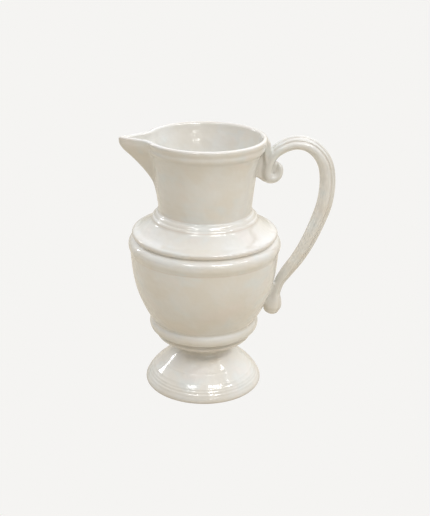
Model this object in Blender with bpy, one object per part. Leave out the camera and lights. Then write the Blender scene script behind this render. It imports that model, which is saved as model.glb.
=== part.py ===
"""A footed pitcher in glazed earthenware, built the way a potter assembles one.

The vessel is a stack of turned sections luted together: a hollow pedestal foot, a stem
collar, a belly bowl, applied bands, a shoulder, a beaded ring and a flared neck. A beak
spout closes a notch cut in the neck, and a pulled handle with a scroll at each end is
stuck to the neck and the belly by two wads of clay.

Metres, +Z up. The pitcher stands on Z = 0, pours towards -X and is held at +X. The
origin is the middle of the bounding box's underside, so the vessel's own axis stands a
little towards the spout. Outlines are given in millimetres as (radius, height) points.
"""

import math

import bmesh
import bpy
from mathutils import Vector

# Driving dimensions, in millimetres.
HEIGHT = 250.0
SPOUT_REACH = 79.4
HANDLE_REACH = 123.4
WALL = 5.0
GAP = 0.3
SLIP = 0.8

# Heights of the turned sections.
STEM_WAIST = 44.4
COLLAR_TOP = 54.0
BAND_FOOT = 57.0
BAND_CREASE = 69.4
BELLY_TOP = 138.6
SHELF = 152.6
RING_FOOT = 171.6
RING_TOP = 178.6
NECK_FOOT = 178.9

# Radii that neighbouring pieces share.
STEM_BORE = 21.2
WAIST_RADIUS = 26.5
BOWL_SEAT = 48.2
BOWL_BASE = 45.4
SEAT_FOOT = 58.6
STEM_HEEL = 26.9
BAND_HEEL = 46.0
BAND_SEAT_FOOT = 58.4
SHOULDER_HEEL = 66.4
RING_HEEL = 50.6

# The notch in the neck widens upwards, and the beak that closes it has flat cheeks.
NOTCH_FOOT = 188.0
NOTCH_FOOT_ANGLE = math.radians(12.0)
NOTCH_RIM_ANGLE = math.radians(36.0)
NOTCH_CLEARANCE = math.radians(0.45)
BEAK_SLOPE = 0.62
BEAK_WALL = 4.0
BEAK_SOFTNESS = 4.0
BEAK_LIP_ROUNDING = 1.2
KEEL_FLAT = 1.4
BEAK_HEIGHTS = [NOTCH_FOOT, 196.0, 204.0, 212.0, 220.0, 228.0, 236.0, 242.0, 246.5, 249.0]
BEAK_SHARES = [index / 8.0 - 1.0 for index in range(17)]
BEAK_CROWDING = 1.5

# How far a cutter reaches past the piece it cuts.
CUTTER_MARGIN = 2.0

# How finely round surfaces are divided, and how sharp an edge must be to stay crisp.
SEGMENTS = 36
CURVE_STEPS = 2
EDGE_ANGLE = 35.0
HANDLE_EDGE_ANGLE = 50.0

MM = 0.001
AXIS_X = -0.5 * (HANDLE_REACH - SPOUT_REACH) * MM


def clear_scene():
    """Remove whatever the file opened with."""
    for item in list(bpy.data.objects):
        bpy.data.objects.remove(item, do_unlink=True)


def ceramic(name, colour, roughness, coat):
    """A ceramic surface: a coloured body under a clear glaze coat."""
    material = bpy.data.materials.new(name)
    material.use_nodes = True
    shader = material.node_tree.nodes["Principled BSDF"]
    shader.inputs["Base Color"].default_value = (*colour, 1.0)
    shader.inputs["Roughness"].default_value = roughness
    shader.inputs["Metallic"].default_value = 0.0
    shader.inputs["Coat Weight"].default_value = coat
    material.diffuse_color = (*colour, 1.0)
    return material


def smooth(points, steps=CURVE_STEPS):
    """Points along a Catmull-Rom curve through the guide points."""
    ends = [points[0]] + list(points) + [points[-1]]
    curve = []
    for before, start, end, after in zip(ends, ends[1:], ends[2:], ends[3:]):
        for step in range(steps):
            t = step / steps
            curve.append(tuple(
                0.5 * (2 * b + (c - a) * t + (2 * a - 5 * b + 4 * c - d) * t ** 2
                       + (3 * b - a - 3 * c + d) * t ** 3)
                for a, b, c, d in zip(before, start, end, after)))
    curve.append(tuple(points[-1]))
    return curve


def value_at(curve, height):
    """Radius of a (radius, height) curve at one height, by straight lines between its points."""
    ordered = sorted(curve, key=lambda point: point[1])
    if height <= ordered[0][1]:
        return ordered[0][0]
    for (radius_0, height_0), (radius_1, height_1) in zip(ordered, ordered[1:]):
        if height <= height_1:
            share = (height - height_0) / max(height_1 - height_0, 1e-9)
            return radius_0 + share * (radius_1 - radius_0)
    return ordered[-1][0]


# Outer outlines of the turned sections, from the bottom up.
FOOT = smooth([(56.3, 0.0), (57.3, 1.8), (56.7, 4.4), (54.5, 8.0), (51.2, 12.5), (47.3, 16.7), (40.6, 23.0),
               (32.6, 30.7), (27.9, 36.0), (WAIST_RADIUS, STEM_WAIST)])
STEM_SCOTIA = smooth([(28.2, 46.5), (33.2, 48.0), (42.0, 49.6)])
COLLAR_BEAD = smooth([(45.2, 50.4), (46.4, 52.3), (45.6, COLLAR_TOP)])
LOWER_BAND = smooth([(46.4, BAND_FOOT), (50.8, 58.2), (52.5, 60.6), (52.8, 64.4), (51.6, BAND_CREASE)])
BELLY = smooth([(52.0, 70.5), (56.7, 79.5), (61.4, 89.8), (65.4, 100.6), (68.7, 116.0), (70.3, 129.0),
                (71.0, BELLY_TOP)])
BELLY_BAND = smooth([(71.7, 140.0), (72.7, 144.6), (71.7, 149.5), (68.8, SHELF)])
SHOULDER_EDGE = smooth([(67.0, 153.3), (69.2, 155.6), (69.0, 157.8), (66.4, 159.7)])
SHOULDER_SLOPE = smooth([(62.7, 161.3), (57.8, 164.8), (50.9, RING_FOOT)])
RING_STEP = smooth([(50.4, 172.4), (49.5, 173.7), (47.9, 174.5)])
RING_BEAD = smooth([(47.6, 175.4), (47.0, 177.3), (44.8, RING_TOP)])
NECK = smooth([(44.2, NECK_FOOT), (44.9, 190.0), (46.4, 205.2), (48.2, 219.6), (50.4, 229.4), (53.0, 236.4)])
RIM_BAND = smooth([(55.0, 239.2), (55.6, 241.6), (55.6, 244.2)], 2)
LIP = smooth([(56.7, 247.0), (56.7, 248.8), (54.8, HEIGHT), (53.0, 249.4), (52.1, 247.6)], 2)

# Inner outlines of the hollow sections.
FOOT_HOLLOW = smooth([(STEM_BORE, STEM_WAIST), (21.8, 38.4), (27.6, 30.6), (36.8, 21.6), (43.0, 12.6),
                      (48.6, 4.4), (51.6, 0.0)], 1)
BOWL_HOLLOW = smooth([(BELLY[-1][0] - WALL, BELLY_TOP), (64.8, 121.0), (59.8, 98.0), (51.2, 78.0),
                      (41.2, 66.4), (24.0, 61.6), (0.0, 61.0)], 1)
SHOULDER_BORE = [(45.0, RING_FOOT), (51.8, 163.4), (58.4, 157.8), (62.0, SHELF + GAP)]
NECK_BORE = [(50.8, 242.4), (48.2, 235.0), (44.9, 223.6), (42.2, 209.0), (40.4, 194.0), (39.5, NECK_FOOT)]
RING_BORE = [(NECK_BORE[-1][0], RING_TOP), (40.8, 175.0), (44.0, RING_FOOT + GAP)]

# The spout's lower edge, and how the points of its rings crowd towards that edge.
BEAK_KEEL = smooth([(44.2, 187.0), (45.8, 194.6), (50.4, 206.6), (63.4, 225.0), (74.8, 237.6), (78.2, 243.0),
                    (SPOUT_REACH, 249.0)], 4)


def finish(mesh, name, material, sharp_angle=EDGE_ANGLE):
    """Turn a bmesh into a named object standing on the vessel's axis."""
    bmesh.ops.recalc_face_normals(mesh, faces=mesh.faces)
    data = bpy.data.meshes.new(name)
    mesh.to_mesh(data)
    mesh.free()
    data.shade_smooth()
    data.set_sharp_from_angle(angle=math.radians(sharp_angle))
    data.materials.append(material)
    item = bpy.data.objects.new(name, data)
    bpy.context.scene.collection.objects.link(item)
    item.location = (AXIS_X, 0.0, 0.0)
    return item


def turned(name, outline, material):
    """Spin an outline round the axis; one whose ends lie on the axis closes there by itself."""
    mesh = bmesh.new()
    corners = [mesh.verts.new((radius * MM, 0.0, height * MM)) for radius, height in outline]
    lines = [mesh.edges.new(pair) for pair in zip(corners, corners[1:])]
    if outline[0][0] > 0.0:
        lines.append(mesh.edges.new((corners[-1], corners[0])))
    bmesh.ops.spin(mesh, geom=corners + lines, cent=(0.0, 0.0, 0.0), axis=(0.0, 0.0, 1.0),
                   angle=math.tau, steps=SEGMENTS, use_merge=True)
    bmesh.ops.remove_doubles(mesh, verts=mesh.verts, dist=1e-6)
    return finish(mesh, name, material)


def lofted(name, rings, material, sharp_angle=EDGE_ANGLE):
    """Skin a row of closed rings of 3-D points in millimetres, and cap both ends."""
    mesh = bmesh.new()
    rows = [[mesh.verts.new(Vector(point) * MM) for point in ring] for ring in rings]
    for low, high in zip(rows, rows[1:]):
        for index in range(len(low)):
            mesh.faces.new((low[index - 1], low[index], high[index], high[index - 1]))
    mesh.faces.new(rows[0])
    mesh.faces.new(rows[-1])
    return finish(mesh, name, material, sharp_angle)


def cut(item, cutter):
    """Subtract a cutter from a piece; the cutter stays in the file as a hidden wire shape."""
    cutter.hide_render = True
    cutter.display_type = "WIRE"
    difference = item.modifiers.new(cutter.name, "BOOLEAN")
    difference.operation = "DIFFERENCE"
    difference.solver = "EXACT"
    difference.object = cutter


def pedestal_foot(glaze):
    """Domed foot with a rounded edge, hollow below, standing on a flat ring."""
    return turned("pedestal_foot", FOOT + FOOT_HOLLOW, glaze)


def slip_ring(name, inner, outer, bottom, clay):
    """The layer of slip that holds two turned sections together."""
    low = bottom + GAP
    high = low + SLIP
    return turned(name, [(inner, low), (outer, low), (outer, high), (inner, high)], clay)


def stem_collar(glaze):
    """Hollow stem that spreads from the waist to the round bead under the belly."""
    low = STEM_WAIST + 2 * GAP + SLIP
    outside = [(STEM_HEEL, low)] + STEM_SCOTIA + COLLAR_BEAD
    return turned("stem_collar", [(STEM_BORE, low)] + outside + [(STEM_BORE, COLLAR_TOP)], glaze)


def belly_bowl(glaze):
    """Closed bowl: flat base, seat for the lower band, then the swelling wall."""
    base = COLLAR_TOP + 2 * GAP + SLIP
    outside = [(0.0, base), (BOWL_BASE, base), (BOWL_BASE, BAND_FOOT + GAP), (BOWL_SEAT, SEAT_FOOT),
               (BOWL_SEAT, BAND_CREASE + GAP)] + BELLY
    return turned("belly_bowl", outside + BOWL_HOLLOW, glaze)


def lower_belly_band(glaze):
    """Applied moulding that wraps the base of the bowl."""
    inner = BOWL_SEAT + GAP
    inside = [(inner, BAND_CREASE), (inner, BAND_SEAT_FOOT), (BAND_HEEL, BAND_FOOT + GAP)]
    return turned("lower_belly_band", LOWER_BAND[1:] + inside, glaze)


def belly_band(glaze):
    """Rounded ring on the bowl's mouth, and the shelf that the shoulder stands on."""
    outer, top = BELLY[-1]
    low = top + GAP
    return turned("belly_band", [(outer - WALL, low), (outer, low)] + BELLY_BAND + [(outer - WALL, SHELF)],
                  glaze)


def shoulder(glaze):
    """Sloping shoulder with a rounded corner above the dark groove."""
    heel = (SHOULDER_HEEL, SHELF + GAP)
    return turned("shoulder", [heel] + SHOULDER_EDGE + SHOULDER_SLOPE + SHOULDER_BORE, glaze)


def neck_ring(glaze):
    """Two small mouldings where the neck stands on the shoulder."""
    heel = (RING_HEEL, RING_FOOT + GAP)
    return turned("neck_ring", [heel] + RING_STEP + RING_BEAD + RING_BORE, glaze)


def blend(first, second, softness):
    """The larger of two radii, with a soft change from one to the other."""
    spread = max(softness - abs(first - second), 0.0) / softness
    return max(first, second) + spread ** 2 * softness * 0.25


def beak_radius(angle, height, wall_radius, inset):
    """Radius of the spout's surface: two flat cheeks that meet at the keel, eased into the neck."""
    keel = value_at(BEAK_KEEL, height)
    steepness = math.sqrt(1.0 + BEAK_SLOPE ** 2)
    depth = keel * BEAK_SLOPE + KEEL_FLAT - inset * steepness
    cheek = depth / (math.sin(abs(angle)) + BEAK_SLOPE * math.cos(angle))
    keel_limit = (keel - inset) / math.cos(angle)
    return blend(min(cheek, keel_limit), wall_radius, BEAK_SOFTNESS)


def notch_angle(height):
    """Half the notch's angle at one height."""
    share = (height - NOTCH_FOOT) / (HEIGHT - NOTCH_FOOT)
    return NOTCH_FOOT_ANGLE + share * (NOTCH_RIM_ANGLE - NOTCH_FOOT_ANGLE)


def wall_ring(height, clearance, radii):
    """Level ring round a piece of wall in the notch: out along one face and back along the other."""
    half = notch_angle(height) - clearance
    angles = [half * math.copysign(abs(share) ** BEAK_CROWDING, share) for share in BEAK_SHARES]
    ring = []
    for face, order in enumerate((angles, angles[::-1])):
        for angle in order:
            radius = radii(angle)[face]
            ring.append((-radius * math.cos(angle), radius * math.sin(angle), height))
    return ring


def neck_radii(height):
    """Outer and inner radius of the plain round neck at one height."""
    return value_at(NECK + RIM_BAND + LIP[:3], height), value_at(NECK_BORE + [LIP[-1]], height)


def beak_ring(level, height, edge):
    """Ring round the spout's wall; the level sets its shape, and edge rounds the lip off."""
    outer, inner = neck_radii(level)
    return wall_ring(height, NOTCH_CLEARANCE, lambda angle: (
        beak_radius(angle, level, outer, 0.0) - edge,
        beak_radius(angle, level, inner, BEAK_WALL) + edge))


def pouring_spout(glaze):
    """Beak that fills the notch: cheeks, keel and lip in one bent slab."""
    rings = [beak_ring(height, height, 0.0) for height in BEAK_HEIGHTS]
    rings[0] = beak_ring(NOTCH_FOOT, NOTCH_FOOT + GAP, 0.0)
    rings.append(beak_ring(BEAK_HEIGHTS[-1], HEIGHT, BEAK_LIP_ROUNDING))
    return lofted("pouring_spout", rings, glaze)


def notch_cutter(clay):
    """Bent slab, a little thicker than the wall, that opens the neck towards the spout."""
    rings = []
    for height in BEAK_HEIGHTS + [HEIGHT + CUTTER_MARGIN]:
        outer, inner = neck_radii(height)
        rings.append(wall_ring(height, 0.0, lambda angle: (outer + CUTTER_MARGIN, inner - CUTTER_MARGIN)))
    return lofted("notch_cutter", rings, clay)


def neck(glaze, clay):
    """Flared neck with the rim band and the rolled lip, notched for the spout."""
    outline = NECK + RIM_BAND + LIP + NECK_BORE
    item = turned("neck", outline, glaze)
    cut(item, notch_cutter(clay))
    return item


# The handle's middle line in its upright plane, from the tip of the upper scroll round to the
# tip of the lower one: (distance from the axis, height, thickness in the plane, width across).
HANDLE_ROUTE = [
    (67.6, 222.8, 3.6, 7.4), (69.2, 219.4, 6.2, 10.0), (69.5, 214.4, 7.4, 11.6), (66.2, 209.6, 9.4, 12.6),
    (60.9, 208.8, 10.6, 13.2), (57.8, 213.0, 10.4, 13.6), (58.0, 219.6, 10.4, 13.8),
    (60.2, 227.0, 10.6, 14.2), (64.3, 233.6, 11.4, 14.6), (70.4, 238.5, 12.4, 15.0),
    (77.3, 241.7, 12.8, 15.4), (84.7, 243.1, 12.9, 15.8),
    (94.9, 241.2, 13.0, 16.0), (105.0, 234.1, 13.5, 16.0), (112.5, 222.7, 14.3, 16.0),
    (115.8, 206.2, 15.0, 16.0), (114.4, 184.3, 15.0, 16.0), (109.0, 165.9, 14.6, 15.6),
    (100.7, 145.3, 13.8, 15.0), (91.2, 127.6, 13.0, 14.2), (80.7, 112.8, 12.0, 13.4),
    (74.3, 102.6, 10.2, 12.4), (72.1, 95.6, 9.2, 11.6), (70.6, 90.0, 9.8, 12.2), (69.7, 84.6, 14.4, 14.0),
    (68.3, 79.0, 18.0, 16.0), (67.4, 74.4, 16.4, 15.0), (67.2, 70.4, 11.0, 11.0), (67.2, 68.8, 5.2, 5.6),
]
SCROLL_ROOT = 8
STRAP_FOOT = 22
HANDLE_STEPS = 2
SECTION_SIDES = 12
SPINE_HEIGHT = 1.5
SPINE_SHARPNESS = 8

# Side outlines of the two wads as (distance from the axis, height), and the sides of their rings.
UPPER_WAD = [(44.0, 211.6), (50.9, 208.6), (56.8, 205.8), (57.8, 213.0), (58.0, 219.6), (60.2, 227.0),
             (63.0, 232.4), (61.2, 236.6), (59.8, 243.4), (57.6, 246.2), (50.0, 246.2)]
UPPER_WAD_HALF_WIDTH = 4.6
LOWER_WAD = [(50.0, 84.0), (69.0, 84.0), (70.8, 90.0), (72.4, 96.6), (73.2, 101.5), (59.6, 105.6)]
LOWER_WAD_HALF_WIDTH = 4.2
WAD_ROUNDING = 1.6
WAD_SIDES = (-1.0, -0.72, 0.72, 1.0)


def section_ring(centre, outward, thickness, width):
    """Cross-section of the handle: an oval with a rounded spine along its outer side."""
    ring = []
    for index in range(SECTION_SIDES):
        angle = math.tau * index / SECTION_SIDES
        facing = max(math.cos(angle), 0.0)
        depth = 0.5 * thickness * math.cos(angle) - SPINE_HEIGHT * facing * (1.0 - facing ** SPINE_SHARPNESS)
        side = 0.5 * width * math.sin(angle)
        ring.append(tuple(centre + outward * depth + Vector((0.0, side, 0.0))))
    return ring


def handle_piece(name, first, last, material, grow=0.0):
    """Carry the section along the handle's route from one of its points to another."""
    stations = smooth(HANDLE_ROUTE, HANDLE_STEPS)
    start = first * HANDLE_STEPS
    stop = last * HANDLE_STEPS
    rings = []
    for index in range(start, stop + 1):
        distance, height, thickness, width = stations[index]
        behind = stations[max(index - 1, 0)]
        ahead = stations[min(index + 1, len(stations) - 1)]
        heading = Vector((ahead[0] - behind[0], 0.0, ahead[1] - behind[1])).normalized()
        centre = Vector((distance, 0.0, height))
        if index == start:
            centre += heading * (0.5 * GAP)
        if index == stop:
            centre -= heading * (0.5 * GAP)
        outward = Vector((-heading.z, 0.0, heading.x))
        rings.append(section_ring(centre, outward, thickness + 2 * grow, width + 2 * grow))
    return lofted(name, rings, material, HANDLE_EDGE_ANGLE)


def wad(name, side_outline, half_width, clay, cutters):
    """A wad of clay squeezed between the vessel and the handle, cut to fit both."""
    heights = [height for distance, height in side_outline]
    low = min(heights) + WAD_ROUNDING
    high = max(heights) - WAD_ROUNDING
    rings = []
    for side in WAD_SIDES:
        rounded = abs(side) == 1.0
        rings.append([(distance, side * half_width, min(max(height, low), high) if rounded else height)
                      for distance, height in side_outline])
    item = lofted(name, rings, clay)
    for cutter in cutters:
        cut(item, cutter)
    return item


def upper_handle_joint(clay):
    """Joins the scroll and the root of the arch to the neck and the rim."""
    wall = [(radius + GAP, height) for radius, height in NECK[3:]]
    rim = LIP[1][0] + GAP
    above = HEIGHT + CUTTER_MARGIN
    neck_clearance = turned("neck_clearance", [(0.0, wall[0][1])] + wall + [
        (rim, RIM_BAND[0][1]), (rim, above), (0.0, above)], clay)
    handle_clearance = handle_piece("arch_clearance", 3, SCROLL_ROOT + 3, clay, grow=GAP)
    return wad("upper_handle_joint", UPPER_WAD, UPPER_WAD_HALF_WIDTH, clay,
               [neck_clearance, handle_clearance])


def lower_handle_joint(clay):
    """Joins the foot of the strap and its terminal to the belly."""
    wall = [(radius + GAP, height) for radius, height in BELLY[:-4]]
    belly_clearance = turned("belly_clearance", [(0.0, wall[0][1])] + wall + [(0.0, wall[-1][1])], clay)
    handle_clearance = handle_piece("foot_clearance", STRAP_FOOT - 3, STRAP_FOOT + 4, clay, grow=GAP)
    return wad("lower_handle_joint", LOWER_WAD, LOWER_WAD_HALF_WIDTH, clay,
               [belly_clearance, handle_clearance])


def build():
    """Model every piece of the pitcher."""
    clear_scene()
    glaze = ceramic("ivory_glaze", (0.80, 0.76, 0.69), 0.12, 1.0)
    slip = ceramic("ivory_slip", (0.74, 0.68, 0.58), 0.6, 0.0)
    pedestal_foot(glaze)
    slip_ring("foot_slip", STEM_BORE, WAIST_RADIUS, STEM_WAIST, slip)
    stem_collar(glaze)
    slip_ring("stem_slip", STEM_BORE, BOWL_BASE, COLLAR_TOP, slip)
    belly_bowl(glaze)
    lower_belly_band(glaze)
    belly_band(glaze)
    shoulder(glaze)
    neck_ring(glaze)
    neck(glaze, slip)
    pouring_spout(glaze)
    handle_piece("upper_scroll", 0, SCROLL_ROOT, glaze)
    handle_piece("handle_strap", SCROLL_ROOT, STRAP_FOOT, glaze)
    handle_piece("lower_scroll", STRAP_FOOT, len(HANDLE_ROUTE) - 1, glaze)
    upper_handle_joint(slip)
    lower_handle_joint(slip)


build()
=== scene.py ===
import math

import bpy
import numpy as np
from mathutils import Matrix, Vector


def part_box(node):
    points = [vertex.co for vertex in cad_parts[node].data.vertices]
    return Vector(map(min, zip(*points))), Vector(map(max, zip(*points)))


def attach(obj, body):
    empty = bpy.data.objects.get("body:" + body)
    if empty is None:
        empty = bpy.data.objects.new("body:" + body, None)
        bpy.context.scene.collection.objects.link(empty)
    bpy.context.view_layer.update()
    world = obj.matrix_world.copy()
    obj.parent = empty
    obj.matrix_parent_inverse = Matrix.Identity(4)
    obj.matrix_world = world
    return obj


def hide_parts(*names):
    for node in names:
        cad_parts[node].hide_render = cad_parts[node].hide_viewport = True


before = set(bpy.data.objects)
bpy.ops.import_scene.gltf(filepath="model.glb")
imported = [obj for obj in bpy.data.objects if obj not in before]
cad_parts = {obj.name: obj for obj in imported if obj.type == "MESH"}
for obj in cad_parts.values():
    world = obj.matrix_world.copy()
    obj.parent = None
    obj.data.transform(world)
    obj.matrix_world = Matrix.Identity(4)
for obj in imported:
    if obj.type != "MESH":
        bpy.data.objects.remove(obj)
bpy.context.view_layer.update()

MM = 0.001
foot_low, foot_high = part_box("pedestal_foot")
AXIS_X = 0.5 * (foot_low.x + foot_high.x)

SEGMENTS = 224
GLAZE_SLOT = "ivory_glaze"
SLIP_SLOT = "ivory_slip"


# ---------------------------------------------------------------- curves and meshes

def spline(guides, spacing=0.7):
    """Points on a centripetal Catmull-Rom curve, and the guide each one follows."""
    guides = np.asarray(guides, float)
    ends = np.vstack([2 * guides[0] - guides[1], guides, 2 * guides[-1] - guides[-2]])
    points, owners = [], []
    for index in range(1, len(ends) - 2):
        a, b, c, d = ends[index - 1:index + 3]
        knots = np.cumsum([0.0] + [max(np.linalg.norm((q - p)[:2]), 1e-6) ** 0.5
                                   for p, q in ((a, b), (b, c), (c, d))])
        steps = max(2, int(round(np.linalg.norm((c - b)[:2]) / spacing)))
        for t in knots[1] + (knots[2] - knots[1]) * np.arange(steps) / steps:
            ab = a + (b - a) * (t - knots[0]) / (knots[1] - knots[0])
            bc = b + (c - b) * (t - knots[1]) / (knots[2] - knots[1])
            cd = c + (d - c) * (t - knots[2]) / (knots[3] - knots[2])
            abc = ab + (bc - ab) * (t - knots[0]) / (knots[2] - knots[0])
            bcd = bc + (cd - bc) * (t - knots[1]) / (knots[3] - knots[1])
            points.append(abc + (bcd - abc) * (t - knots[1]) / (knots[2] - knots[1]))
            owners.append(index - 1)
    points.append(guides[-1])
    owners.append(len(guides) - 1)
    return np.array(points), np.array(owners)


def build_object(name, verts, faces, sharp_degrees=38.0):
    """A mesh object from points in millimetres round the vessel's axis."""
    data = bpy.data.meshes.new(name)
    placed = np.asarray(verts, float) * MM
    placed[:, 0] += AXIS_X
    data.from_pydata(placed.tolist(), [], faces)
    data.validate()
    data.update()
    data.shade_smooth()
    data.set_sharp_from_angle(angle=math.radians(sharp_degrees))
    item = bpy.data.objects.new(name, data)
    bpy.context.scene.collection.objects.link(item)
    mark_glaze_flow(data)
    return item


def mark_glaze_flow(data):
    """Store where glaze runs thin on convex edges, and where it pools in grooves and painted shade darkens
    the creases.
    """
    count = len(data.vertices)
    places = np.empty(count * 3)
    normals = np.empty(count * 3)
    data.vertices.foreach_get("co", places)
    data.vertices.foreach_get("normal", normals)
    places = places.reshape(-1, 3) / MM
    normals = normals.reshape(-1, 3)
    pairs = np.empty(len(data.edges) * 2, dtype=np.int64)
    data.edges.foreach_get("vertices", pairs)
    pairs = pairs.reshape(-1, 2)
    start = np.concatenate([pairs[:, 0], pairs[:, 1]])
    stop = np.concatenate([pairs[:, 1], pairs[:, 0]])
    step = places[stop] - places[start]
    length = np.maximum((step ** 2).sum(1), 1e-6)
    bend = -2.0 * (step * normals[start]).sum(1) / length
    weight = np.maximum(np.bincount(start, minlength=count), 1)
    sharpest = np.bincount(start, bend, count) / weight
    for _ in range(3):
        sharpest = 0.5 * sharpest + 0.5 * np.bincount(start, sharpest[stop], count) / weight
    # The groove value darkens creases, both as pooled glaze and as painted shade.
    for name, values in (("thin", sharpest), ("pool_and_shade", -sharpest)):
        layer = data.attributes.new(name, "FLOAT", "POINT")
        layer.data.foreach_set("value", np.clip(values / 0.45, 0.0, 1.0).astype(np.float32))


def grid_faces(rows, columns, wrap_rows, wrap_columns):
    """Quads over a grid of vertices, wrapping either way if asked."""
    faces = []
    for row in range(rows if wrap_rows else rows - 1):
        above = (row + 1) % rows
        for column in range(columns if wrap_columns else columns - 1):
            right = (column + 1) % columns
            faces.append((row * columns + column, row * columns + right,
                          above * columns + right, above * columns + column))
    return faces


def spun(name, outline):
    """Turn a closed (radius, height) outline round the axis; its ends may lie on the axis."""
    outline = np.asarray(outline, float)
    on_axis = outline[0][0] < 1e-6
    body = outline[1:-1] if on_axis else outline
    angles = np.arange(SEGMENTS) * math.tau / SEGMENTS
    rings = np.stack([
        np.outer(body[:, 0], np.cos(angles)),
        np.outer(body[:, 0], np.sin(angles)),
        np.repeat(body[:, 1][:, None], SEGMENTS, axis=1)], axis=-1)
    verts = rings.reshape(-1, 3).tolist()
    faces = grid_faces(len(body), SEGMENTS, not on_axis, True)
    if on_axis:
        last = (len(body) - 1) * SEGMENTS
        verts += [(0.0, 0.0, outline[0][1]), (0.0, 0.0, outline[-1][1])]
        low, high = len(verts) - 2, len(verts) - 1
        for column in range(SEGMENTS):
            right = (column + 1) % SEGMENTS
            faces.append((right, column, low))
            faces.append((last + column, last + right, high))
    return build_object(name, verts, faces)


# ---------------------------------------------------------------- outlines of the vessel

# Outside of the vessel from the ring it stands on up to the lip, as (radius, height)
# guide points in millimetres. Each section ends where the next one begins.
SECTIONS = [
    ("foot", [(56.2, 0.0), (56.8, 0.3), (57.2, 1.0), (57.35, 2.1), (57.05, 3.5), (56.4, 4.9),
              (55.6, 6.2), (54.7, 7.6), (53.7, 9.1), (52.6, 10.7), (51.3, 12.4), (49.6, 14.4),
              (47.4, 16.7), (44.7, 19.2), (40.6, 23.0), (36.6, 26.8), (32.6, 30.7), (29.6, 33.8),
              (27.7, 36.5), (26.85, 39.2), (26.5, 41.8), (26.5, 44.2)]),
    ("stem", [(26.8, 45.2), (28.1, 46.5), (30.7, 47.5), (34.0, 48.3), (38.3, 49.1), (41.9, 49.6),
              (44.2, 50.0), (45.5, 50.7), (46.2, 51.7), (46.35, 52.8), (46.05, 54.0), (45.7, 55.1),
              (45.5, 56.1)]),
    ("lower_band", [(45.9, 56.75), (47.3, 57.05), (49.2, 57.6), (50.7, 58.4), (51.8, 59.4), (52.5, 60.8),
                    (53.0, 62.4), (53.25, 64.1), (53.15, 65.4), (52.75, 66.6), (52.2, 67.5), (51.65, 68.3),
                    (51.3, 69.1), (51.25, 69.9)]),
    ("bowl", [(51.6, 70.8), (52.6, 72.4), (56.7, 79.5), (61.4, 89.8), (65.4, 100.6), (68.7, 115.5),
              (70.1, 127.0), (70.7, 134.0), (70.95, 137.4)]),
    ("belly_band", [(71.1, 138.8), (71.5, 140.2), (72.1, 141.9), (72.65, 143.8), (72.8, 145.8),
                    (72.5, 147.6), (71.7, 149.4), (70.5, 151.0), (69.1, 152.1), (68.0, 152.7),
                    (67.3, 153.2)]),
    ("shoulder", [(67.4, 153.8), (68.3, 154.5), (69.1, 155.6), (69.3, 157.0), (68.7, 158.4),
                  (67.0, 159.5), (62.8, 161.3), (57.8, 164.8), (53.4, 168.6), (51.5, 170.5),
                  (50.9, 171.4)]),
    ("neck_ring", [(50.55, 172.0), (50.05, 172.9), (49.45, 173.75), (48.9, 174.2), (48.3, 174.5),
                   (47.8, 175.1), (47.25, 176.0), (46.6, 176.9), (46.0, 177.5), (45.3, 177.9),
                   (44.8, 178.4), (44.4, 179.2)]),
    ("neck", [(44.15, 179.8), (44.2, 183.0), (44.9, 190.9), (46.4, 205.2), (48.2, 219.6),
              (50.3, 229.0), (52.0, 234.2), (52.8, 236.0), (53.7, 237.3), (54.6, 238.5),
              (55.25, 239.9), (55.5, 241.3), (55.4, 242.6), (55.5, 243.7), (55.95, 244.8),
              (56.4, 245.9), (56.7, 247.1), (56.65, 248.3), (56.1, 249.3), (55.1, 249.85), (54.0, 250.0),
              (52.9, 249.3), (52.1, 248.0)]),
]

# Low rings that the turning tool left on the foot, as (height, width, swell).
FOOT_RINGS = [(7.3, 0.9, 0.24), (9.9, 0.8, 0.2), (12.3, 0.8, 0.2), (16.0, 0.9, 0.16), (22.8, 0.8, 0.16)]

# Inside of the vessel from the middle of its floor up to the lip.
BOWL_FLOOR = 61.0
INSIDE = [(0.0, BOWL_FLOOR), (12.0, 61.1), (24.0, 61.8), (34.0, 63.6), (41.2, 67.0), (46.4, 71.6),
          (51.2, 78.6), (59.4, 97.4), (64.3, 118.0), (65.8, 134.0), (65.8, 144.0), (64.0, 151.0),
          (59.4, 156.8), (52.0, 163.2), (46.0, 168.6), (41.8, 173.2), (39.8, 177.6),
          (39.4, 183.2), (40.3, 193.8), (42.2, 209.0), (44.9, 223.6), (48.2, 235.0),
          (50.5, 242.0), (51.7, 246.4), (52.1, 248.0)]
STANDING_FACE = 0.00035   # metres; faces of the foot lower than this are bare
STEM_RADIUS = 21.2
STEM_BORE = [(STEM_RADIUS, 56.1), (STEM_RADIUS, 44.2)]
LOWER_BAND_BORE = [(49.4, 69.6), (47.4, 64.0), (45.6, 58.4)]
BOWL_UNDERSIDE = [(0.0, 56.3), (20.0, 56.3), (44.8, 56.3), (45.4, 58.4), (47.2, 64.2), (49.2, 69.8)]
FOOT_HOLLOW = [(STEM_RADIUS, 44.2), (21.6, 39.0), (23.4, 35.0), (27.6, 30.8), (36.8, 21.8), (43.0, 12.8),
               (48.0, 5.8), (50.2, 2.3), (51.3, 0.5), (52.0, 0.0)]
NECK_FOOT = 179.0
LIP_OUTER = 56.7
LIP_INNER = 52.1
LIP_INSIDE = 247.7


def sections():
    """The smooth outside outline, cut into its named sections."""
    guides, starts = [], []
    for name, points in SECTIONS:
        starts.append((name, len(guides)))
        guides += points
    points, owners = spline(guides)
    for height, width, swell in FOOT_RINGS:
        along = np.hypot(*(points - points[np.argmin(np.abs(points[:, 1] - height))]).T)
        points[:, 0] += swell * np.exp(-(along / width) ** 2)
    cuts = [int(np.argmax(owners >= start)) for name, start in starts] + [len(points) - 1]
    return {name: points[cuts[index]:cuts[index + 1] + 1] for index, (name, start) in enumerate(starts)}


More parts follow.
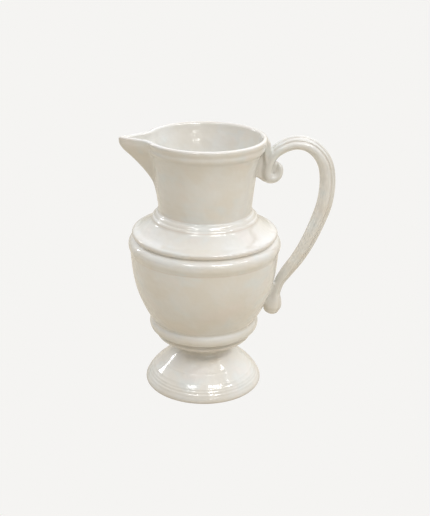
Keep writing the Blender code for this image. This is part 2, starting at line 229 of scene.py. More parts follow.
def inside_between(low, high):
    """The inside outline from one height to another, from the top down."""
    curve = spline(INSIDE, 1.4)[0]
    kept = curve[(curve[:, 1] > low) & (curve[:, 1] < high)]
    ends = [[np.interp(level, curve[:, 1], curve[:, 0]), level] for level in (high, low)]
    return np.vstack([ends[:1], kept[::-1], ends[1:]])


# ---------------------------------------------------------------- spout and neck

BEAK_FOOT = 187.0
NECK_COLUMNS = 320
SPOUT_CROWDING = 0.58
BEAK_KEEL = [(42.6, 187.0), (43.2, 191.0), (44.6, 196.0), (48.6, 206.6), (54.4, 215.6), (62.2, 225.0),
             (69.2, 232.2), (74.9, 237.6), (77.4, 240.8), (78.9, 243.8), (79.3, 246.8), (79.4, 252.0)]
BEAK_SLOPE = 0.62
BEAK_WALL = 4.0


def soft_max(first, second, softness):
    """The larger of two values, with a soft change from one to the other."""
    spread = np.maximum(softness - np.abs(first - second), 0.0) / softness
    return np.maximum(first, second) + spread ** 2 * softness * 0.25


def soft_min(first, second, softness):
    """The smaller of two values, with a soft change from one to the other."""
    return -soft_max(-first, -second, softness)


def spout_radius(angle, height, wall_radius, inset):
    """Radius of the skin at an angle from the spout: flat cheeks, a rounded keel, round wall."""
    keel_line = spline(BEAK_KEEL)[0]
    keel = np.interp(height, keel_line[:, 1], keel_line[:, 0])
    turn = np.minimum(np.abs(angle), math.radians(80.0))
    depth = keel * BEAK_SLOPE + 1.5 - inset * math.hypot(1.0, BEAK_SLOPE)
    cheek = depth / (np.sin(turn) + BEAK_SLOPE * np.cos(turn))
    front = (keel - inset + 0.35) / np.cos(turn)
    beak = soft_min(cheek, front, 3.0)
    return soft_max(beak, wall_radius, 3.6) if height > BEAK_FOOT else wall_radius + 0.0 * turn


def spout_angles():
    """Angles round the neck, closer together across the spout."""
    share = np.linspace(-1.0, 1.0, NECK_COLUMNS + 1)[:-1]
    return math.pi * ((1.0 - SPOUT_CROWDING) * share + SPOUT_CROWDING * share ** 3)


def neck_and_spout(outer):
    """Neck, rim band, rolled lip and pouring spout in one skin."""
    bore = inside_between(NECK_FOOT, LIP_INSIDE)
    loop = np.vstack([outer, bore])
    rolled = (LIP_OUTER - loop[:, 0]) / (LIP_OUTER - LIP_INNER)
    share = np.zeros(len(loop))
    crest = int(np.argmax(outer[:, 1]))
    widest = crest - int(np.argmax(outer[:crest + 1][::-1][:, 0]))
    share[widest:len(outer)] = np.clip(rolled[widest:len(outer)], 0.0, 1.0)
    share[len(outer):] = 1.0
    angles = spout_angles()
    rows = []
    for (radius, height), part in zip(loop, share):
        reach = spout_radius(angles, height, radius, part * BEAK_WALL)
        rows.append(np.stack([-reach * np.cos(angles), reach * np.sin(angles),
                              np.full_like(angles, height)], axis=-1))
    faces = grid_faces(len(rows), len(angles), True, True)
    return build_object("glazed_neck_and_spout", np.concatenate(rows), flipped(faces))


def flipped(faces):
    """The same faces seen from the other side."""
    return [face[::-1] for face in faces]


# ---------------------------------------------------------------- handle

# Middle line of the handle in its upright plane, from the tip of the upper scroll to the end
# of the lower one: distance from the axis, height, thickness, width, height of the rib.
HANDLE_ROUTE = [
    (67.6, 222.8, 3.4, 8.0, 0.1), (69.2, 219.6, 6.2, 10.4, 0.1), (69.5, 214.5, 7.4, 11.8, 0.1),
    (66.2, 209.6, 9.4, 12.8, 0.2), (60.9, 208.8, 10.6, 13.4, 0.3), (57.8, 213.0, 10.4, 13.7, 0.4),
    (58.0, 219.6, 10.4, 13.9, 0.6), (60.2, 227.0, 10.6, 14.3, 1.0), (64.3, 233.6, 11.4, 14.7, 1.6),
    (70.4, 238.5, 12.4, 15.1, 2.1), (77.3, 241.7, 12.9, 15.5, 2.4), (84.7, 243.1, 13.1, 15.9, 2.5),
    (94.9, 241.2, 13.3, 16.1, 2.7), (105.0, 234.1, 13.7, 16.1, 2.9), (112.5, 222.7, 14.4, 16.1, 3.1),
    (115.8, 206.2, 14.9, 16.1, 3.2), (114.4, 184.3, 15.0, 16.0, 3.2), (109.0, 165.9, 14.6, 15.6, 3.1),
    (100.7, 145.3, 13.8, 15.0, 3.0), (91.2, 127.6, 13.0, 14.2, 2.8), (80.7, 112.8, 12.0, 13.3, 2.6),
    (74.3, 102.6, 10.1, 12.3, 2.3), (72.1, 95.6, 9.1, 11.5, 1.9), (70.6, 90.0, 9.6, 12.0, 1.6),
    (69.8, 85.6, 13.6, 13.8, 1.4), (68.6, 80.8, 17.6, 15.8, 1.1), (67.6, 76.6, 18.2, 16.2, 0.8),
    (67.1, 73.4, 15.6, 14.2, 0.5),
]
HANDLE_SPACING = 1.1
SECTION_SIDES = 128
RIB_CROWDING = 0.252
SECTION_REACH = 14.0
HALVINGS = 26
REED_DEPTH = 0.32
REED_WIDTH = 0.45


def handle_stations():
    """Dense stations along the handle with the direction out of the loop at each."""
    stations = spline(HANDLE_ROUTE, HANDLE_SPACING)[0]
    heading = np.gradient(stations[:, :2], axis=0)
    heading /= np.linalg.norm(heading, axis=1)[:, None]
    outward = np.stack([-heading[:, 1], heading[:, 0]], axis=1)
    return stations, heading, outward


def oval_distance(across, side, ahead, middle, reach, half_width):
    """Distance to an oval bar, roughly, in the cross-section's own axes."""
    cap = np.minimum(reach, half_width)
    scaled = np.sqrt(((across - middle) / reach) ** 2 + (side / half_width) ** 2 + (ahead / cap) ** 2)
    pull = np.sqrt(((across - middle) / reach ** 2) ** 2 + (side / half_width ** 2) ** 2
                   + (ahead / cap ** 2) ** 2)
    return scaled * (scaled - 1.0) / np.maximum(pull, 1e-6)


def creased_min(first, second):
    """The smaller of two distances, with a fine groove scored where they meet."""
    return np.minimum(first, second) + REED_DEPTH * np.exp(-((first - second) / REED_WIDTH) ** 2)


def section_distance(across, side, ahead, thickness, width, rib):
    """Distance to the reeded section: a full body, a low step and a narrow rib on its back."""
    half = 0.5 * thickness
    body_reach = 0.5 * (thickness - rib)
    body = oval_distance(across, side, ahead, -0.5 * rib, body_reach, 0.5 * width)
    step = oval_distance(across, side, ahead, half - 0.42 * rib - 3.2, 3.2 + 0.0 * half, 0.36 * width)
    ridge = oval_distance(across, side, ahead, half - 2.6, 2.6 + 0.0 * half, 0.185 * width)
    return creased_min(creased_min(body, step), ridge)


def handle_skin():
    """The strap and both scrolls, lofted as one skin along the route."""
    stations, heading, outward = handle_stations()
    angles = np.arange(SECTION_SIDES) * math.tau / SECTION_SIDES
    angles = angles - RIB_CROWDING * np.sin(angles)
    along_across, along_side = np.cos(angles), np.sin(angles)
    thickness, width, rib = (stations[:, column][:, None] for column in (2, 3, 4))
    near = np.zeros((len(stations), SECTION_SIDES))
    far = np.full_like(near, SECTION_REACH)
    start = -0.5 * rib
    for _ in range(HALVINGS):
        middle = 0.5 * (near + far)
        gap = section_distance(start + middle * along_across, middle * along_side, 0.0 * middle,
                               thickness + 0.0 * middle, width + 0.0 * middle, rib + 0.0 * middle)
        near = np.where(gap < 0.0, middle, near)
        far = np.where(gap < 0.0, far, middle)
    across = start + near * along_across
    side = near * along_side
    rows = np.stack([stations[:, 0][:, None] + outward[:, 0][:, None] * across, side,
                     stations[:, 1][:, None] + outward[:, 1][:, None] * across], axis=-1)
    rows = rounded_ends(rows, stations, heading)
    faces = grid_faces(len(rows), SECTION_SIDES, False, True)
    verts = rows.reshape(-1, 3).tolist()
    for row, order in ((0, 1), (len(rows) - 1, -1)):
        verts.append(rows[row].mean(axis=0).tolist())
        tip = len(verts) - 1
        for column in range(SECTION_SIDES):
            pair = (row * SECTION_SIDES + column, row * SECTION_SIDES + (column + 1) % SECTION_SIDES)
            faces.append((pair[0], tip, pair[1])[::order])
    return build_object("glazed_handle", verts, faces, 60.0)


def rounded_ends(rows, stations, heading):
    """Add shrinking rings past both ends, so that they close as soft domes."""
    made = []
    for end, sign in ((0, -1.0), (-1, 1.0)):
        middle = rows[end].mean(axis=0)
        bulge = 0.32 * stations[end][2]
        turn = [(math.sin(a), math.cos(a)) for a in np.linspace(0.12, 1.45, 7)]
        push = np.array([heading[end][0], 0.0, heading[end][1]]) * sign * bulge
        made.append([middle + (rows[end] - middle) * small + push * out for out, small in turn])
    return np.concatenate([np.array(made[0][::-1]), rows, np.array(made[1])])


# ---------------------------------------------------------------- handle joints

WEB_ROUNDING = 2.0
SLAB_BLEND = 1.2
HANDLE_FILLET = 1.8
VESSEL_FILLET = 2.4
FILLET_REACH = 3.6
SINK = 0.25                # how far the fillet tucks under the surfaces it runs out on
ROOT_IN_VESSEL = 1.6
ROOT_IN_HANDLE = 2.2
WEB_GRID = 0.75
SETTLE_ROUNDS = 4

def polygon_distance(points, corners):
    """Signed distance from 2-D points to a polygon, negative inside."""
    best = np.full(len(points), 1e9)
    inside = np.zeros(len(points), bool)
    for start, stop in zip(corners, np.roll(corners, -1, axis=0)):
        line = stop - start
        offset = points - start
        share = np.clip((offset @ line) / max(line @ line, 1e-9), 0.0, 1.0)
        best = np.minimum(best, ((offset - share[:, None] * line) ** 2).sum(1))
        crosses = (start[1] > points[:, 1]) != (stop[1] > points[:, 1])
        with np.errstate(divide="ignore", invalid="ignore"):
            meet = start[0] + (points[:, 1] - start[1]) / (stop[1] - start[1]) * line[0]
        inside ^= crosses & (points[:, 0] < meet)
    return np.where(inside, -1.0, 1.0) * np.sqrt(best)


def handle_distance(points, route, first, last):
    """Distance from points to one stretch of the handle's skin."""
    stations, heading, outward = route
    stations, heading, outward = stations[first:last], heading[first:last], outward[first:last]
    flat = points[:, [0, 2]]
    gaps = np.stack([((flat - station[:2]) ** 2).sum(1) for station in stations])
    nearest = gaps.argmin(axis=0)
    offset = flat - stations[nearest, :2]
    across = (offset * outward[nearest]).sum(1)
    ahead = (offset * heading[nearest]).sum(1)
    ahead = np.where((nearest == 0) | (nearest == len(stations) - 1), ahead, 0.0)
    return section_distance(across, points[:, 1], ahead, stations[nearest, 2],
                            stations[nearest, 3], stations[nearest, 4])


def surface_net(field, low, step):
    """Vertices and quads of the zero level of a field sampled on a grid."""
    shape = np.array(field.shape)
    inside = field < 0.0
    corners = [(i, j, k) for i in (0, 1) for j in (0, 1) for k in (0, 1)]

    def corner(array, i, j, k):
        return array[i:shape[0] - 1 + i, j:shape[1] - 1 + j, k:shape[2] - 1 + k]

    count = sum(corner(inside, *c).astype(int) for c in corners)
    active = (count > 0) & (count < 8)
    total = np.zeros(active.shape + (3,))
    hits = np.zeros(active.shape)
    for a in corners:
        for axis in range(3):
            if a[axis] == 1:
                continue
            b = tuple(v + (1 if index == axis else 0) for index, v in enumerate(a))
            value_a, value_b = corner(field, *a), corner(field, *b)
            cross = (value_a < 0.0) != (value_b < 0.0)
            share = np.where(cross, value_a / np.where(cross, value_a - value_b, 1.0), 0.0)
            place = np.zeros(active.shape + (3,)) + np.array(a, float)
            place[..., axis] += share
            total += np.where(cross[..., None], place, 0.0)
            hits += cross
    numbers = np.full(active.shape, -1)
    cells = np.argwhere(active)
    numbers[active] = np.arange(len(cells))
    verts = low + (cells + total[active] / hits[active][:, None]) * step
    faces = []
    for axis in range(3):
        u, v = [index for index in range(3) if index != axis]
        ahead = np.roll(inside, -1, axis=axis)
        edge = inside != ahead
        index = [slice(1, -1)] * 3
        index[axis] = slice(0, -1)
        mask = np.zeros_like(edge)
        mask[tuple(index)] = edge[tuple(index)]
        for place in np.argwhere(mask):
            ring = []
            for du, dv in ((0, 0), (-1, 0), (-1, -1), (0, -1)):
                cell = place.copy()
                cell[u] += du
                cell[v] += dv
                ring.append(int(numbers[tuple(cell)]))
            outward = bool(inside[tuple(place)])
            if axis == 1:
                outward = not outward
            faces.append(tuple(ring if outward else ring[::-1]))
    return verts, faces


def relaxed(verts, faces, field):
    """Slide the net's vertices evenly over the surface and settle them on it."""
    pairs = np.array([(face[i], face[(i + 1) % 4]) for face in faces for i in range(4)])
    start = np.concatenate([pairs[:, 0], pairs[:, 1]])
    stop = np.concatenate([pairs[:, 1], pairs[:, 0]])
    weight = np.maximum(np.bincount(start, minlength=len(verts)), 1)[:, None]
    for _ in range(SETTLE_ROUNDS):
        around = np.stack([np.bincount(start, verts[stop, axis], len(verts)) for axis in range(3)], axis=1)
        verts = 0.5 * verts + 0.5 * around / weight
        for _ in range(2):
            value = field(verts)
            slope = np.stack([(field(verts + shift) - value) / 0.02
                              for shift in 0.02 * np.eye(3)], axis=1)
            size = np.maximum((slope ** 2).sum(1), 0.09)
            verts = verts - np.clip(value / size, -0.3, 0.3)[:, None] * slope
    return verts


def slab_distance(flat, side, outline, half_width):
    """Distance to an upright slab with a given side outline and rounded edges."""
    plan = polygon_distance(flat, np.array(outline, float))
    depth = np.abs(side) - half_width
    return (np.hypot(np.maximum(plan + WEB_ROUNDING, 0.0), np.maximum(depth + WEB_ROUNDING, 0.0))
            + np.minimum(np.maximum(plan, depth) + WEB_ROUNDING, 0.0) - WEB_ROUNDING)


def joint_skin(name, slabs, wall, span, route, low, high):
    """Clay between the vessel and the handle, run into both by soft fillets."""
    wall = np.array(wall, float)

    def field(points):
        flat = points[:, [0, 2]]
        radius = np.stack([np.hypot(points[:, 0], points[:, 1]), points[:, 2]], axis=1)
        web = slab_distance(flat, points[:, 1], *slabs[0])
        for slab in slabs[1:]:
            web = soft_min(web, slab_distance(flat, points[:, 1], *slab), SLAB_BLEND)
        handle = handle_distance(points, route, *span)
        vessel = polygon_distance(radius, wall)
        fillet = soft_min(web, handle + SINK * smooth_step(web, 1.2, 2.6), HANDLE_FILLET)
        skin = soft_min(fillet, vessel + SINK * smooth_step(fillet, 1.4, 2.8), VESSEL_FILLET)
        skin = np.maximum(skin, web - FILLET_REACH)
        return np.maximum(skin, np.maximum(-vessel - ROOT_IN_VESSEL, -handle - ROOT_IN_HANDLE))

    low, high = np.array(low, float), np.array(high, float)
    shape = np.ceil((high - low) / WEB_GRID).astype(int) + 1
    axes = [low[axis] + WEB_GRID * np.arange(shape[axis]) for axis in range(3)]
    grid = np.stack(np.meshgrid(*axes, indexing="ij"), axis=-1).reshape(-1, 3)
    values = np.concatenate([field(part) for part in np.array_split(grid, 24)]).reshape(shape)
    verts, faces = surface_net(values, low, WEB_GRID)
    verts = relaxed(verts, faces, field)
    return build_object(name, verts, faces, 70.0)


def smooth_step(value, start, stop):
    """0 before start, 1 after stop, and an even curve between."""
    share = np.clip((value - start) / (stop - start), 0.0, 1.0)
    return share * share * (3.0 - 2.0 * share)


# ---------------------------------------------------------------- materials

def node(tree, kind, **settings):
    """A shader node with some of its settings and sockets filled in."""
    made = tree.nodes.new(kind)
    for key, value in settings.items():
        if hasattr(made, key):
            setattr(made, key, value)
        else:
            made.inputs[key.replace("_", " ")].default_value = value
    return made


def noise(tree, vector, scale, detail):
    """Noise at a scale in features per metre."""
    made = node(tree, "ShaderNodeTexNoise", Scale=scale, Detail=detail, Roughness=0.5)
    tree.links.new(vector, made.inputs["Vector"])
    return made.outputs["Fac"]


def ramp(tree, value, low, high, bottom=0.0, top=1.0):
    """The value stretched from low..high to bottom..top, and held there."""
    made = node(tree, "ShaderNodeMapRange", interpolation_type="SMOOTHSTEP")
    for key, number in (("From Min", low), ("From Max", high), ("To Min", bottom), ("To Max", top)):
        made.inputs[key].default_value = number
    tree.links.new(value, made.inputs["Value"])
    return made.outputs["Result"]


def mixed(tree, factor, first, second):
    """Blend two colours, each a socket or four numbers."""
    made = node(tree, "ShaderNodeMix", data_type="RGBA")
    tree.links.new(factor, made.inputs["Factor"])
    for value, socket in ((first, made.inputs["A"]), (second, made.inputs["B"])):
        socket = [s for s in made.inputs if s.name == socket.name and s.type == "RGBA"][0]
        if isinstance(value, tuple):
            socket.default_value = value
        else:
            tree.links.new(value, socket)
    return [s for s in made.outputs if s.type == "RGBA"][0]


def scaled(tree, vector, scale):
    """Coordinates stretched by a scale along each axis."""
    made = node(tree, "ShaderNodeMapping")
    made.inputs["Scale"].default_value = scale
    tree.links.new(vector, made.inputs["Vector"])
    return made.outputs["Vector"]


def attribute(tree, name):
    """A number stored on the mesh."""
    return node(tree, "ShaderNodeAttribute", attribute_name=name).outputs["Fac"]


WARM_IVORY = (0.765, 0.715, 0.63, 1.0)
PALE_IVORY = (0.775, 0.75, 0.695, 1.0)
BLUSH = (0.80, 0.72, 0.65, 1.0)
COOL_CAST = (0.725, 0.755, 0.735, 1.0)
THIN_GLAZE = (0.66, 0.545, 0.45, 1.0)
# Pooled glaze colour in grooves, also used as painted shade that darkens the creases.
POOLED_GLAZE_AND_SHADE = (0.52, 0.48, 0.40, 1.0)
IRON_SPECK = (0.45, 0.38, 0.30, 1.0)
SWELL_DEPTH = 0.00042
RING_DEPTH = 0.00004
PEEL_DEPTH = 0.000012


def glazed_ivory():
    """Ivory body under a clear glossy glaze that thins on edges, pools in grooves and carries painted
    shade in its creases.
    """
    material = bpy.data.materials.new("glazed_ivory")
    material.use_nodes = True
    tree = material.node_tree
    shader = tree.nodes["Principled BSDF"]
    place = node(tree, "ShaderNodeTexCoord").outputs["Object"]

    tone = mixed(tree, ramp(tree, noise(tree, place, 26.0, 3.0), 0.38, 0.62),
                 WARM_IVORY, PALE_IVORY)
    blush = ramp(tree, noise(tree, place, 41.0, 2.0), 0.52, 0.74, 0.0, 0.5)
    tone = mixed(tree, blush, tone, BLUSH)
    cool = ramp(tree, noise(tree, scaled(tree, place, (1.0, 1.0, 1.6)), 33.0, 2.0), 0.54, 0.72, 0.0, 0.5)
    tone = mixed(tree, cool, tone, COOL_CAST)
    tone = mixed(tree, ramp(tree, attribute(tree, "thin"), 0.10, 0.95, 0.0, 0.42), tone,
                 THIN_GLAZE)
    # Grooves and creases turn darker and browner: pooled glaze, plus painted shade where the creases lie
    # in shade.
    tone = mixed(tree, ramp(tree, attribute(tree, "pool_and_shade"), 0.10, 0.90, 0.0, 0.35), tone,
                 POOLED_GLAZE_AND_SHADE)
    speck = ramp(tree, noise(tree, place, 1500.0, 1.0), 0.735, 0.80, 0.0, 0.35)
    tone = mixed(tree, speck, tone, IRON_SPECK)
    tree.links.new(tone, shader.inputs["Base Color"])

    gloss = ramp(tree, noise(tree, place, 120.0, 3.0), 0.35, 0.70, 0.16, 0.26)
    tree.links.new(gloss, shader.inputs["Roughness"])
    shader.inputs["IOR"].default_value = 1.5
    shader.inputs["Coat Weight"].default_value = 1.0
    shader.inputs["Coat Roughness"].default_value = 0.035
    shader.inputs["Coat IOR"].default_value = 1.5

    rings = noise(tree, scaled(tree, place, (4.0, 4.0, 620.0)), 1.0, 1.0)
    swell = noise(tree, place, 105.0, 1.0)
    peel = noise(tree, place, 700.0, 2.0)
    bumps = None
    for height, distance in ((swell, SWELL_DEPTH), (rings, RING_DEPTH), (peel, PEEL_DEPTH)):
        bump = node(tree, "ShaderNodeBump")
        bump.inputs["Strength"].default_value = 1.0
        bump.inputs["Distance"].default_value = distance
        tree.links.new(height, bump.inputs["Height"])
        if bumps is not None:
            tree.links.new(bumps, bump.inputs["Normal"])
        bumps = bump.outputs["Normal"]
    tree.links.new(bumps, shader.inputs["Normal"])
    tree.links.new(bumps, shader.inputs["Coat Normal"])
    return material


def bare_clay():
    """Unglazed fired clay on the ring that the pitcher stands on."""
    material = bpy.data.materials.new("bare_clay")
    material.use_nodes = True
    tree = material.node_tree
    shader = tree.nodes["Principled BSDF"]
    place = node(tree, "ShaderNodeTexCoord").outputs["Object"]
    grain = noise(tree, place, 900.0, 4.0)
    tone = mixed(tree, ramp(tree, grain, 0.35, 0.70), (0.62, 0.55, 0.45, 1.0), (0.72, 0.66, 0.56, 1.0))
    tone = mixed(tree, ramp(tree, noise(tree, place, 60.0, 2.0), 0.45, 0.75, 0.0, 0.5), tone,
                 (0.50, 0.44, 0.36, 1.0))
    tree.links.new(tone, shader.inputs["Base Color"])
    shader.inputs["Roughness"].default_value = 0.85
    bump = node(tree, "ShaderNodeBump")
    bump.inputs["Strength"].default_value = 0.6
    bump.inputs["Distance"].default_value = 0.0002
    tree.links.new(grain, bump.inputs["Height"])
    tree.links.new(bump.outputs["Normal"], shader.inputs["Normal"])
    return material


# ---------------------------------------------------------------- assembly

# Side outlines of the clay that joins the handle, as (distance from the axis, height) in
# millimetres: beside the volute, under the arch at the rim, and at the belly.
SCROLL_WEB = [(45.0, 212.0), (47.5, 210.7), (50.9, 208.3), (54.3, 206.0), (59.0, 204.9), (66.5, 206.8),
              (70.0, 212.6), (69.2, 220.0), (66.0, 224.0), (62.0, 227.0), (60.0, 236.0), (58.0, 244.6),
              (53.0, 244.6), (51.6, 240.0), (48.6, 230.0), (46.4, 219.0)]
RIM_WEB = [(53.3, 246.0), (57.4, 246.6), (59.6, 243.8), (60.5, 238.5), (61.8, 235.6), (64.0, 233.6),
           (62.0, 228.0), (58.0, 222.0), (54.8, 224.0), (53.8, 232.0)]
BELLY_WEB = [(50.0, 81.9), (59.1, 79.0), (68.0, 80.0), (70.1, 89.7), (72.1, 96.6), (71.1, 101.5),
             (61.2, 107.3)]
BELLY_CORE = [(60.0, 136.0), (40.0, 60.0)]
ARCH_START = (84.7, 243.1)
STRAP_END = (80.7, 112.8)

outline = sections()
glaze = glazed_ivory()
clay = bare_clay()
route = handle_stations()


def placed(item, slot, *nodes):
    """Give a piece its glaze and its place in the frame."""
    item.data.materials.append(glaze)
    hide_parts(*nodes)
    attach(item, "root")
    return item


def nearest_station(point):
    """The handle's station nearest to a place in its upright plane."""
    return int(np.argmin(np.hypot(route[0][:, 0] - point[0], route[0][:, 1] - point[1])))


hollow = spline(FOOT_HOLLOW, 1.2)[0]
foot = placed(spun("glazed_foot", np.vstack([outline["foot"], hollow])),
              GLAZE_SLOT, "pedestal_foot", "foot_slip")
foot.data.materials.append(clay)
heights = np.array([polygon.center.z for polygon in foot.data.polygons])
foot.data.polygons.foreach_set("material_index", (heights < STANDING_FACE).astype(np.int32))

placed(spun("glazed_stem", np.vstack([outline["stem"], STEM_BORE])),
       GLAZE_SLOT, "stem_collar", "stem_slip")
placed(spun("glazed_lower_band", np.vstack([outline["lower_band"], LOWER_BAND_BORE])),
       GLAZE_SLOT, "lower_belly_band")
bowl_top = outline["bowl"][-1][1]
bowl_inside = inside_between(BOWL_FLOOR + 0.001, bowl_top)
placed(spun("glazed_bowl", np.vstack([BOWL_UNDERSIDE, outline["bowl"], bowl_inside, [(0.0, BOWL_FLOOR)]])),
       GLAZE_SLOT, "belly_bowl")
band_top = outline["belly_band"][-1][1]
placed(spun("glazed_belly_band", np.vstack([outline["belly_band"], inside_between(bowl_top, band_top)])),
       GLAZE_SLOT, "belly_band")
shoulder_top = outline["shoulder"][-1][1]
placed(spun("glazed_shoulder", np.vstack([outline["shoulder"], inside_between(band_top, shoulder_top)])),
       GLAZE_SLOT, "shoulder")
ring_top = outline["neck_ring"][-1][1]
placed(spun("glazed_neck_ring", np.vstack([outline["neck_ring"], inside_between(shoulder_top, ring_top)])),
       GLAZE_SLOT, "neck_ring")
placed(neck_and_spout(outline["neck"]), GLAZE_SLOT, "neck", "pouring_spout")
placed(handle_skin(), GLAZE_SLOT, "handle_strap", "upper_scroll", "lower_scroll")

neck_wall = np.vstack([outline["neck_ring"], outline["neck"], inside_between(NECK_FOOT, LIP_INSIDE)])
belly_wall = np.vstack([outline["lower_band"], outline["bowl"], BELLY_CORE])
arch_start = nearest_station(ARCH_START)
strap_end = nearest_station(STRAP_END)
placed(joint_skin("glazed_upper_joint", [(SCROLL_WEB, 2.3), (RIM_WEB, 5.2)], neck_wall,
                  (0, arch_start), route, (44.0, -11.0, 201.0), (76.0, 11.0, 251.0)),
       SLIP_SLOT, "upper_handle_joint")
placed(joint_skin("glazed_lower_joint", [(BELLY_WEB, 4.0)], belly_wall,
                  (strap_end, len(route[0])), route, (50.0, -11.0, 66.0), (82.0, 11.0, 112.0)),
       SLIP_SLOT, "lower_handle_joint")


# ---------------------------------------------------------------- camera

VIEW_TARGET = Vector((AXIS_X, 0.0, 0.1278))
VIEW_DISTANCE = 0.9045
VIEW_ELEVATION = math.radians(22.33)
VIEW_AZIMUTH = math.radians(-4.3)
VIEW_ROLL = math.radians(0.65)
VIEW_YAW = math.radians(-0.64401)
VIEW_PITCH = math.radians(0.06122)
SENSOR_MM = 36.0
LENS_MM = 65.2953

camera_data = bpy.data.cameras.new("camera")
camera_data.sensor_width = SENSOR_MM
camera_data.lens = LENS_MM
camera_data.clip_start = 0.01
camera_data.clip_end = 50.0
camera = bpy.data.objects.new("camera", camera_data)
bpy.context.scene.collection.objects.link(camera)
back = Vector((math.sin(VIEW_AZIMUTH) * math.cos(VIEW_ELEVATION),
               -math.cos(VIEW_AZIMUTH) * math.cos(VIEW_ELEVATION), math.sin(VIEW_ELEVATION)))
camera.location = VIEW_TARGET + back * VIEW_DISTANCE
aim = (-back).to_track_quat("-Z", "Y").to_matrix().to_4x4()
yaw = Matrix.Rotation(VIEW_YAW, 4, "Y")
pitch = Matrix.Rotation(VIEW_PITCH, 4, "X")
roll = Matrix.Rotation(VIEW_ROLL, 4, "Z")
camera.matrix_world = Matrix.Translation(camera.location) @ aim @ yaw @ pitch @ roll
bpy.context.scene.camera = camera


# ---------------------------------------------------------------- studio

PALE = (0.913, 0.905, 0.888, 1.0)
TABLE_COLOUR = (0.60, 0.53, 0.42, 1.0)
TABLE_HALF = 0.9
TABLE_TOP = -0.0008
FLOOR = -0.0004

# The backdrop's outline, as (distance, height) in metres: flat floor, then the dome.
SWEEP = [(0.0, FLOOR), (0.3, FLOOR), (1.2, FLOOR), (2.2, FLOOR), (2.9, 0.25), (3.2, 0.9),
         (3.1, 1.8), (2.4, 2.7), (1.2, 3.2), (0.0, 3.3)]

# Each lamp's name, azimuth and elevation in degrees, distance, width and height in metres,
# and radiance.
LAMPS = [
    ("strip_right", 35.0, 47.0, 1.6, 0.74, 0.18, 13.0),
    ("strip_left", -29.0, 47.0, 1.6, 0.48, 0.18, 8.5),
    ("low_right", 22.0, 24.0, 1.7, 0.42, 0.08, 6.0),
    ("window_right", 70.0, 44.0, 1.6, 0.26, 0.14, 12.0),
    ("window_back_left", -120.0, 22.0, 1.7, 0.14, 0.20, 15.0),
    ("front_soft", 6.0, 52.0, 1.7, 1.4, 0.80, 0.95),
]
LAMP_TARGET = Vector((AXIS_X, 0.0, 0.1))


def backdrop():
    """A pale floor that sweeps up into a plain dome all round."""
    curve = spline(np.array(SWEEP) / MM, 90.0)[0] * MM
    verts, sides = [], 64
    for radius, height in curve:
        for side in range(sides):
            angle = math.tau * side / sides
            verts.append((radius * math.cos(angle), radius * math.sin(angle), height))
    faces = grid_faces(len(curve), sides, False, True)
    data = bpy.data.meshes.new("studio_sweep")
    data.from_pydata(verts, [], faces)
    data.shade_smooth()
    item = bpy.data.objects.new("studio_sweep", data)
    bpy.context.scene.collection.objects.link(item)
    material = bpy.data.materials.new("pale_paper")
    material.use_nodes = True
    tree = material.node_tree
    tree.nodes.remove(tree.nodes["Principled BSDF"])
    light = node(tree, "ShaderNodeEmission")
    light.inputs["Color"].default_value = PALE
    tree.links.new(light.outputs["Emission"], tree.nodes["Material Output"].inputs["Surface"])
    data.materials.append(material)
    item.visible_diffuse = False
    item.visible_glossy = False
    item.visible_transmission = False
    item.visible_shadow = False


def table_top():
    """The surface the pitcher stands on, as its underside and the glaze see it."""
    data = bpy.data.meshes.new("table_top")
    corners = [(-1, -1), (1, -1), (1, 1), (-1, 1)]
    data.from_pydata([(x * TABLE_HALF, y * TABLE_HALF, TABLE_TOP) for x, y in corners], [], [(0, 1, 2, 3)])
    item = bpy.data.objects.new("table_top", data)
    bpy.context.scene.collection.objects.link(item)
    material = bpy.data.materials.new("table_cloth")
    material.use_nodes = True
    shader = material.node_tree.nodes["Principled BSDF"]
    shader.inputs["Base Color"].default_value = TABLE_COLOUR
    shader.inputs["Roughness"].default_value = 0.9
    data.materials.append(material)
    item.visible_camera = False


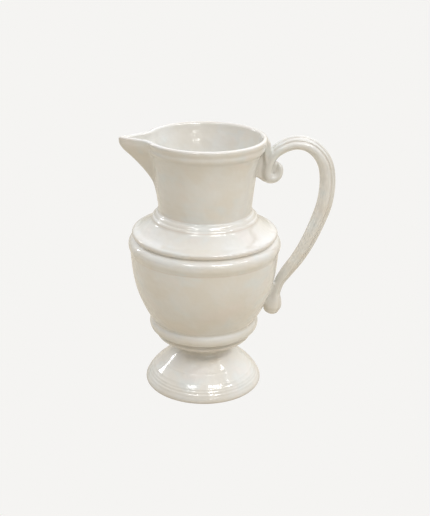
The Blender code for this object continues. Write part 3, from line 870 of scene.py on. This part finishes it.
def soft_box(name, azimuth, elevation, distance, width, height, radiance):
    """A rectangular lamp aimed at the pitcher; azimuth 0 is where the camera stands."""
    turn = math.radians(azimuth) + VIEW_AZIMUTH
    rise = math.radians(elevation)
    towards = Vector((math.sin(turn) * math.cos(rise), -math.cos(turn) * math.cos(rise), math.sin(rise)))
    data = bpy.data.lights.new(name, "AREA")
    data.shape = "RECTANGLE"
    data.size = width
    data.size_y = height
    data.energy = radiance * math.pi * width * height
    item = bpy.data.objects.new(name, data)
    bpy.context.scene.collection.objects.link(item)
    item.location = LAMP_TARGET + towards * distance
    item.rotation_mode = "QUATERNION"
    item.rotation_quaternion = (-towards).to_track_quat("-Z", "Y")


backdrop()
table_top()
for lamp in LAMPS:
    soft_box(*lamp)


def surroundings():
    """Soft room light: bright above and behind, dimmer towards the camera and below."""
    world = bpy.data.worlds.new("room")
    world.use_nodes = True
    bpy.context.scene.world = world
    tree = world.node_tree
    place = node(tree, "ShaderNodeTexCoord").outputs["Generated"]
    parts = node(tree, "ShaderNodeSeparateXYZ")
    tree.links.new(place, parts.inputs["Vector"])
    level = ramp(tree, parts.outputs["Z"], -0.20, 0.85, 0.35, 1.18)
    for axis, low, high, bottom, top in (("Y", -0.9, 0.8, 0.38, 1.32), ("X", -0.9, 0.9, 0.80, 1.25)):
        product = node(tree, "ShaderNodeMath", operation="MULTIPLY")
        tree.links.new(level, product.inputs[0])
        tree.links.new(ramp(tree, parts.outputs[axis], low, high, bottom, top), product.inputs[1])
        level = product.outputs["Value"]
    lit_wall = node(tree, "ShaderNodeMath", operation="ADD")
    tree.links.new(level, lit_wall.inputs[0])
    tree.links.new(ramp(tree, parts.outputs["Y"], 0.25, 0.85, 0.0, 0.14), lit_wall.inputs[1])
    level = lit_wall.outputs["Value"]
    tint = mixed(tree, ramp(tree, parts.outputs["Z"], -0.2, 0.6), (1.0, 0.93, 0.78, 1.0),
                 (0.95, 1.0, 1.075, 1.0))
    background = tree.nodes["Background"]
    tree.links.new(tint, background.inputs["Color"])
    tree.links.new(level, background.inputs["Strength"])


surroundings()
bpy.context.scene.view_settings.view_transform = "Standard"
bpy.context.scene.view_settings.look = "None"
